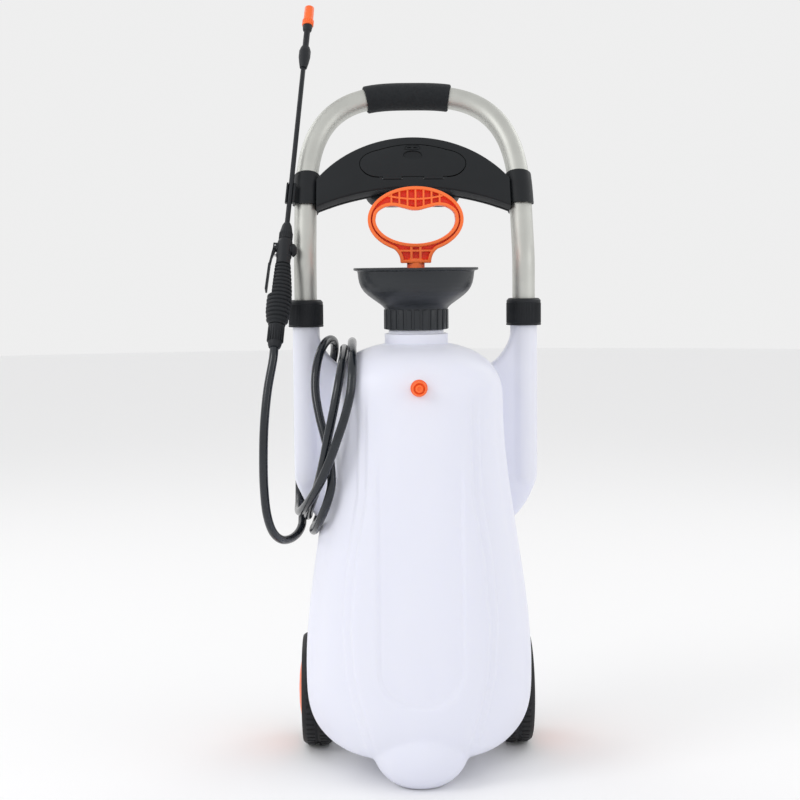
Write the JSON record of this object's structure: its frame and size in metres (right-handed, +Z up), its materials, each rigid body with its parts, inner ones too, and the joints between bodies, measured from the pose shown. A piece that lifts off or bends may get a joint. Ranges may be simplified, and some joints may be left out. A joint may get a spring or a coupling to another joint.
{
  "type": "trolley pressure sprayer",
  "caption": "Wheeled pressure sprayer: a moulded tank with a hand pump in a funnel neck, a telescopic carry handle, a hose and a spray wand.",
  "frame": {"origin": "centre of the front foot's flat sole, on the ground", "axes": "+Z up along the pump, +Y to the rear, where the wheels are, +X to the right seen from the front"},
  "size_m": [0.3463, 0.3345, 0.96],
  "materials": {
    "tank_hdpe": "satin translucent polyethylene",
    "black_plastic": "fine moulded texture",
    "gloss_black": "semi gloss",
    "orange_plastic": "semi gloss",
    "aluminium_tube": "satin anodised",
    "bright_steel": "zinc plated",
    "grip_foam": "closed cell foam",
    "black_rubber": "matt",
    "hose_pvc": "glossy",
    "clear_plastic": "natural polypropylene"
  },
  "bodies": {
    "tank": {"tank_shell": "tank_hdpe", "axle": "bright_steel", "left_push_nut": "bright_steel", "right_push_nut": "bright_steel", "neck_gasket": "black_rubber", "funnel_collar": "gloss_black", "relief_body": "orange_plastic", "outlet_elbow": "black_plastic", "outlet_nut": "black_plastic", "dip_tube": "clear_plastic", "dip_strainer": "black_plastic", "left_collet": "black_plastic", "right_collet": "black_plastic", "hose": "hose_pvc"},
    "left_wheel": {"left_wheel": "black_plastic", "left_hub_cap": "orange_plastic"},
    "right_wheel": {"right_wheel": "black_plastic", "right_hub_cap": "orange_plastic"},
    "pump": {"pump_barrel": "clear_plastic", "pump_cap": "black_plastic", "pump_seal": "black_rubber", "check_valve": "black_rubber"},
    "plunger": {"pump_rod": "bright_steel", "piston": "black_plastic", "piston_ring": "black_rubber"},
    "pull": {"pump_handle": "orange_plastic"},
    "relief": {"relief_knob": "orange_plastic"},
    "handle": {"handle_tube": "aluminium_tube", "handle_grip": "grip_foam", "left_tube_plug": "black_plastic", "right_tube_plug": "black_plastic", "bracket_front": "black_plastic", "bracket_rear": "black_plastic", "bracket_screw_1": "bright_steel", "bracket_screw_2": "bright_steel", "bracket_screw_3": "bright_steel", "bracket_screw_4": "bright_steel", "lid_hinge_pin": "bright_steel", "lance_tube": "black_plastic", "nozzle_elbow": "black_plastic", "lance_nut": "black_plastic", "valve_body": "black_plastic", "valve_cap": "black_plastic", "trigger_pin": "bright_steel", "grip_sleeve": "black_rubber", "grip_tube": "black_plastic", "hose_nut": "black_plastic"},
    "left_collar": {"left_collar": "black_plastic"},
    "right_collar": {"right_collar": "black_plastic"},
    "lid": {"compartment_lid": "black_plastic"},
    "trigger": {"trigger": "black_plastic"},
    "stem": {"valve_stem": "bright_steel"},
    "nozzle": {"nozzle_cap": "orange_plastic"}
  },
  "joints": [
    {"name": "handle_extend", "type": "slide", "parent": "tank", "child": "handle", "axis": [0, 0, 1], "range_m": [0, 0.12]},
    {"name": "left_collar_turn", "type": "hinge", "parent": "tank", "child": "left_collar", "pos_m": [-0.1355, 0.127, 0.559], "axis": [0, 0, 1], "range_deg": [0, 90]},
    {"name": "right_collar_turn", "type": "hinge", "parent": "tank", "child": "right_collar", "pos_m": [0.1355, 0.127, 0.559], "axis": [0, 0, 1], "range_deg": [0, 90]},
    {"name": "left_wheel_spin", "type": "hinge", "parent": "tank", "child": "left_wheel", "pos_m": [-0.128, 0.167, 0.0725], "axis": [1, 0, 0], "continuous": true},
    {"name": "right_wheel_spin", "type": "hinge", "parent": "tank", "child": "right_wheel", "pos_m": [0.128, 0.167, 0.0725], "axis": [1, 0, 0], "continuous": true},
    {"name": "pump_lift", "type": "slide", "parent": "tank", "child": "pump", "axis": [0, 0, 1], "range_m": [0, 0.33]},
    {"name": "pump_stroke", "type": "slide", "parent": "pump", "child": "plunger", "axis": [0, 0, 1], "range_m": [0, 0.2]},
    {"name": "pump_lock_turn", "type": "hinge", "parent": "plunger", "child": "pull", "pos_m": [0, 0.072, 0.65], "axis": [0, 0, 1], "range_deg": [0, 90]},
    {"name": "relief_pull", "type": "slide", "parent": "tank", "child": "relief", "axis": [0, -1, 0], "range_m": [0, 0.0035], "stiffness_N_per_m": 900, "springref_m": -0.004},
    {"name": "lid_open", "type": "hinge", "parent": "handle", "child": "lid", "pos_m": [0, 0.16362, 0.72633], "axis": [-1, 0, 0], "range_deg": [-95, 0]},
    {"name": "trigger_press", "type": "hinge", "parent": "handle", "child": "trigger", "pos_m": [-0.17129, 0.11417, 0.64121], "axis": [0, -0.8829, 0.4695], "range_deg": [0, 6], "stiffness_Nm_per_rad": 0.6, "springref_deg": -8.59},
    {"name": "stem_slide", "type": "slide", "parent": "handle", "child": "stem", "axis": [0.997, -0.0365, -0.0687], "range_m": [0, 0.0012]},
    {"name": "nozzle_turn", "type": "hinge", "parent": "handle", "child": "nozzle", "pos_m": [-0.13374, 0.27078, 0.93576], "axis": [0.0778, 0.468, 0.8803], "range_deg": [0, 270]}
  ],
  "couplings": [
    {"joint": "stem_slide", "follows": "trigger_press", "m_per_rad": 0.0105}
  ]
}
